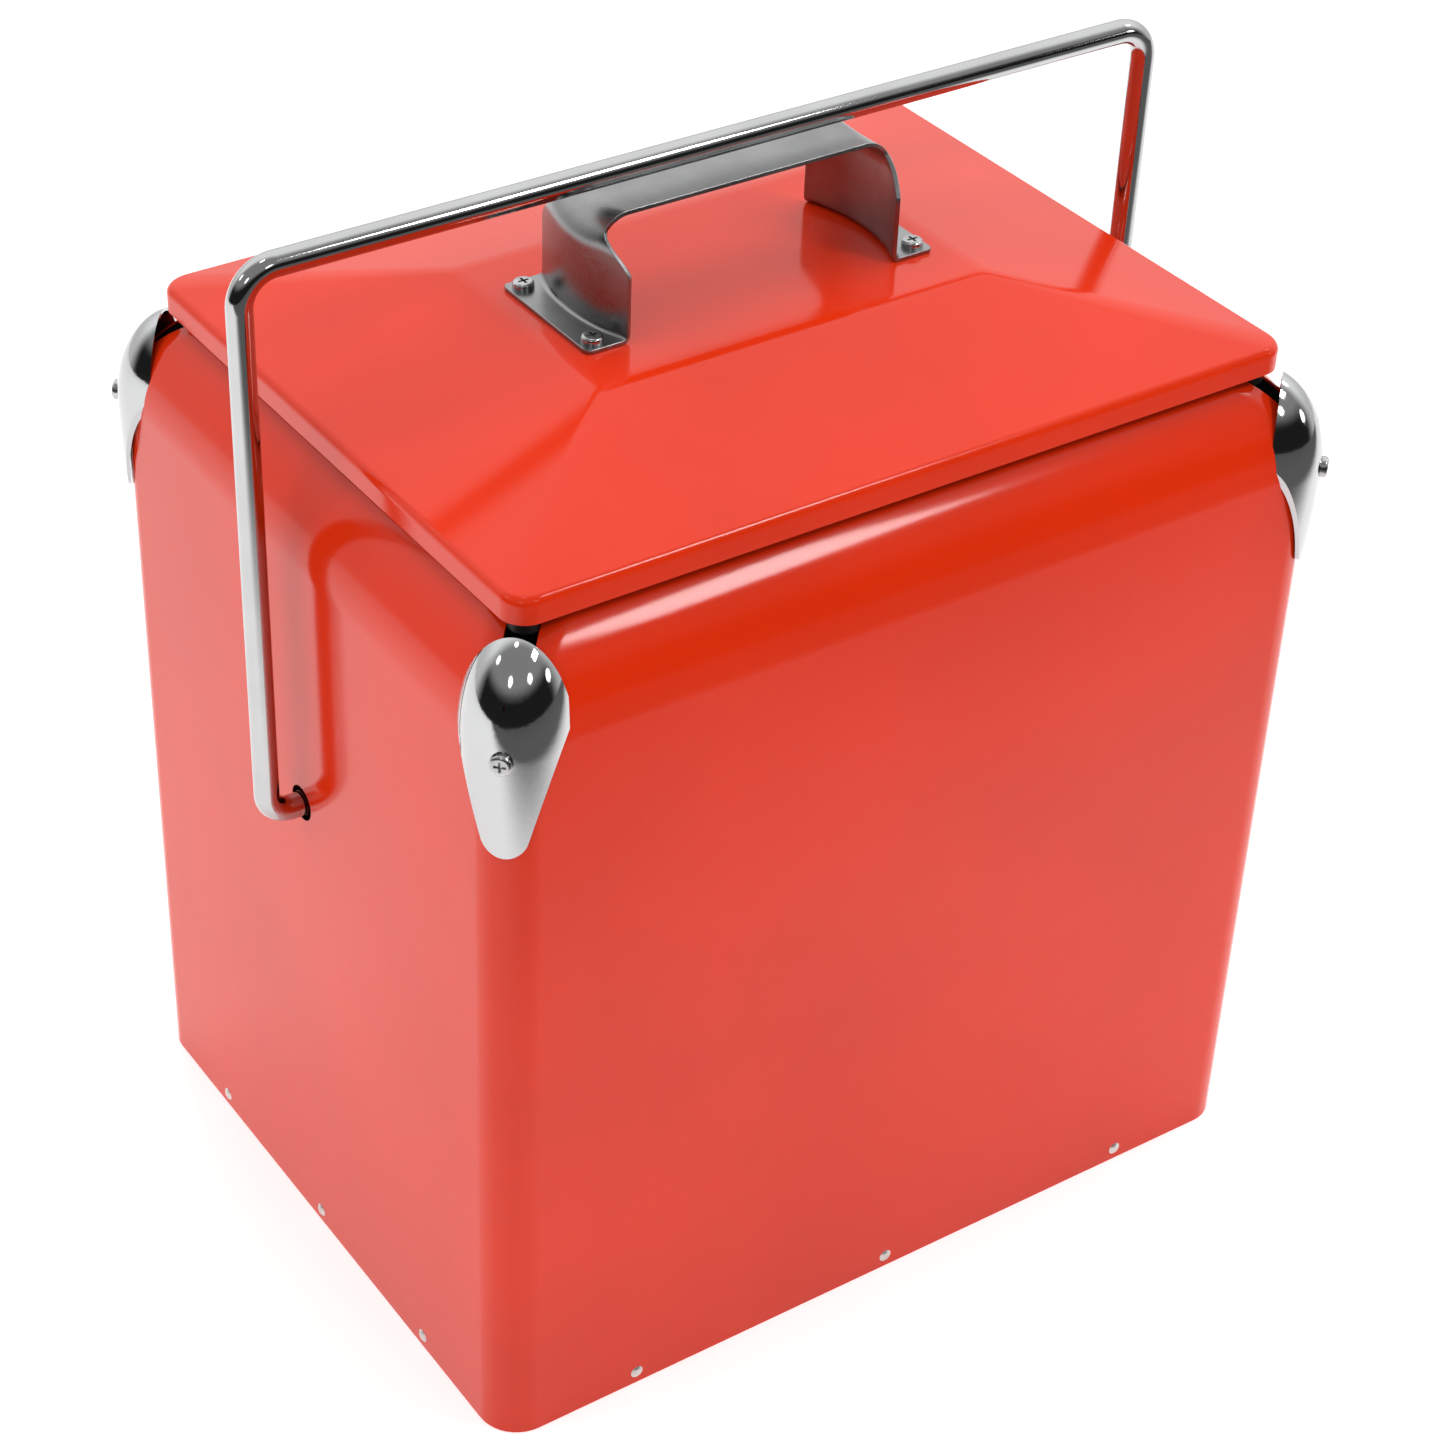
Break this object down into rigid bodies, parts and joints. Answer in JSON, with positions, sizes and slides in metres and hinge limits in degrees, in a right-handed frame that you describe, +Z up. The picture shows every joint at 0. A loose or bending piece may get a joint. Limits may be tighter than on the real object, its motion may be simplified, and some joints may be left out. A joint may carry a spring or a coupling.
{
  "type": "picnic cooler chest",
  "caption": "Red steel-clad picnic cooler chest: insulated body with chromed corner guards, lift-off hipped lid with a strap handle, and a round-rod bail that swings over it.",
  "frame": {"origin": "centre of the footprint, on the surface the cooler stands on", "axes": "+X along the long side, +Y to the back (the front is -Y), +Z up"},
  "size_m": [0.3536, 0.2584, 0.3932],
  "materials": {
    "red_paint": "gloss powder coat",
    "guard_chrome": "polished",
    "handle_chrome": "polished",
    "bail_chrome": "polished",
    "screw_chrome": "bright plated",
    "nut_zinc": "zinc plated",
    "rivet_aluminium": "satin",
    "liner_plastic": "smooth moulded",
    "lid_liner_plastic": "smooth moulded",
    "foam": "rigid foam",
    "gasket_rubber": "matt",
    "bush_plastic": "moulded",
    "plate_zinc": "zinc plated",
    "washer_zinc": "zinc plated"
  },
  "bodies": {
    "chest": {"outer_shell": "red_paint", "base_pan": "red_paint", "base_rivets_front": "rivet_aluminium", "base_rivets_back": "rivet_aluminium", "base_rivets_left": "rivet_aluminium", "base_rivets_right": "rivet_aluminium", "inner_liner": "liner_plastic", "body_insulation": "foam", "pivot_plate_left": "plate_zinc", "pivot_plate_right": "plate_zinc", "bail_bush_left": "bush_plastic", "bail_bush_right": "bush_plastic", "corner_guard_front_left": "guard_chrome", "corner_guard_front_right": "guard_chrome", "corner_guard_back_left": "guard_chrome", "corner_guard_back_right": "guard_chrome", "corner_guard_screws": "screw_chrome", "corner_guard_nuts": "nut_zinc"},
    "bail": {"bail": "bail_chrome", "bail_washer_left": "washer_zinc", "bail_washer_right": "washer_zinc", "bail_retainer_left": "washer_zinc", "bail_retainer_right": "washer_zinc"},
    "lid": {"lid_skin": "red_paint", "lid_liner": "lid_liner_plastic", "lid_insulation": "foam", "lid_gasket": "gasket_rubber", "lid_handle": "handle_chrome", "lid_handle_screws": "screw_chrome", "lid_handle_nuts": "nut_zinc"}
  },
  "joints": [
    {"name": "bail_swing", "type": "hinge", "parent": "chest", "child": "bail", "pos_m": [0, 0, 0.19], "axis": [1, 0, 0], "range_deg": [0, 135]},
    {"name": "lid_lift", "type": "slide", "parent": "chest", "child": "lid", "axis": [0, 0, 1], "range_m": [0, 0.04]}
  ],
  "couplings": [
    {"joint": "lid_lift", "follows": "bail_swing", "m_per_rad": 0.01696}
  ]
}
